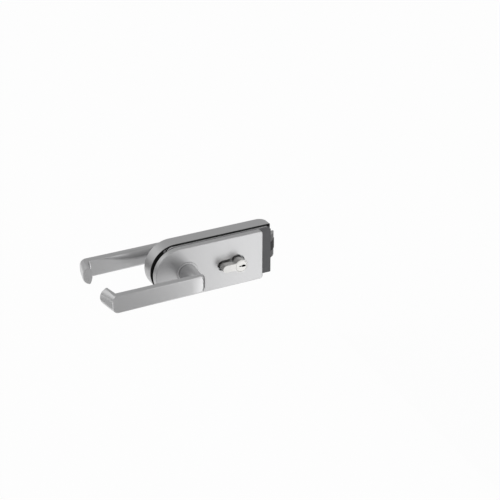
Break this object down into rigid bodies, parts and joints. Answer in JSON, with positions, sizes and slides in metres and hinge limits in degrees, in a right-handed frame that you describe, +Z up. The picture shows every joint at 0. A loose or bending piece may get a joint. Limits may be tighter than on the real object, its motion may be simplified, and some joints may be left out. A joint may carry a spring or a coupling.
{
  "type": "glass door lever lock",
  "caption": "Lock for a glass door leaf: D-shaped metal covers on both faces, a lever handle on each side, sprung latch, deadbolt and double cylinder.",
  "frame": {"origin": "where the lever axis meets the middle plane of the glass", "axes": "+X from the lever axis to the latch, +Y from the front cover to the back cover, +Z up"},
  "size_m": [0.2446, 0.1072, 0.065],
  "materials": {
    "satin_aluminium": "satin anodised, neutral silver",
    "frame_aluminium": "bright machined edge",
    "plate_steel": "zinc-plated sheet",
    "dark_paint": "satin dark grey paint",
    "pad_rubber": "matt black",
    "screw_steel": "plain steel",
    "nickel_brass": "satin nickel plate",
    "cam_steel": "sintered and zinc-plated",
    "latch_metal": "satin nickel plate",
    "dark_plastic": "low-friction sliding insert",
    "spring_steel": "spring steel"
  },
  "bodies": {
    "lock_body": {"front_cover": "satin_aluminium", "back_cover": "satin_aluminium", "front_plate": "plate_steel", "front_pad": "pad_rubber", "back_pad": "pad_rubber", "mounting_frame": "frame_aluminium", "lock_case": "plate_steel", "case_lid": "dark_paint", "clamp_screws": "screw_steel", "front_cover_screws": "screw_steel", "back_cover_screws": "screw_steel", "front_bush": "satin_aluminium", "back_bush": "satin_aluminium", "cylinder_body": "nickel_brass", "cylinder_screw": "screw_steel", "return_spring": "spring_steel", "latch_spring": "spring_steel"},
    "lever_set": {"front_lever": "satin_aluminium", "back_lever": "satin_aluminium", "lever_spindle": "cam_steel", "follower": "cam_steel", "front_retaining_ring": "spring_steel", "back_retaining_ring": "spring_steel", "front_set_screw": "screw_steel", "back_set_screw": "screw_steel"},
    "latch": {"latch_bolt": "latch_metal", "latch_insert": "dark_plastic", "latch_link": "cam_steel"},
    "front_key_barrel": {"front_plug": "nickel_brass", "cylinder_cam": "cam_steel"},
    "deadbolt": {"deadbolt": "cam_steel"},
    "back_key_barrel": {"back_plug": "nickel_brass"}
  },
  "joints": [
    {"name": "lever_turn", "type": "hinge", "parent": "lock_body", "child": "lever_set", "pos_m": [0, 0, 0], "axis": [0, -1, 0], "range_deg": [0, 40], "stiffness_Nm_per_rad": 1.5, "springref_deg": -20.05, "deforming": ["return_spring"]},
    {"name": "latch_slide", "type": "slide", "parent": "lock_body", "child": "latch", "axis": [-1, 0, 0], "range_m": [0, 0.0106], "deforming": ["latch_spring"]},
    {"name": "front_key_turn", "type": "hinge", "parent": "lock_body", "child": "front_key_barrel", "pos_m": [0.0663, 0, -0.002], "axis": [0, -1, 0], "range_deg": [0, 360]},
    {"name": "deadbolt_slide", "type": "slide", "parent": "lock_body", "child": "deadbolt", "axis": [1, 0, 0], "range_m": [0, 0.012]},
    {"name": "back_key_turn", "type": "hinge", "parent": "lock_body", "child": "back_key_barrel", "pos_m": [0.0663, 0, -0.002], "axis": [0, -1, 0], "range_deg": [0, 360]}
  ],
  "couplings": [
    {"joint": "latch_slide", "follows": "lever_turn", "m_per_rad": 0.015},
    {"joint": "front_key_turn", "follows": "deadbolt_slide", "rad_per_m": 523.5}
  ]
}
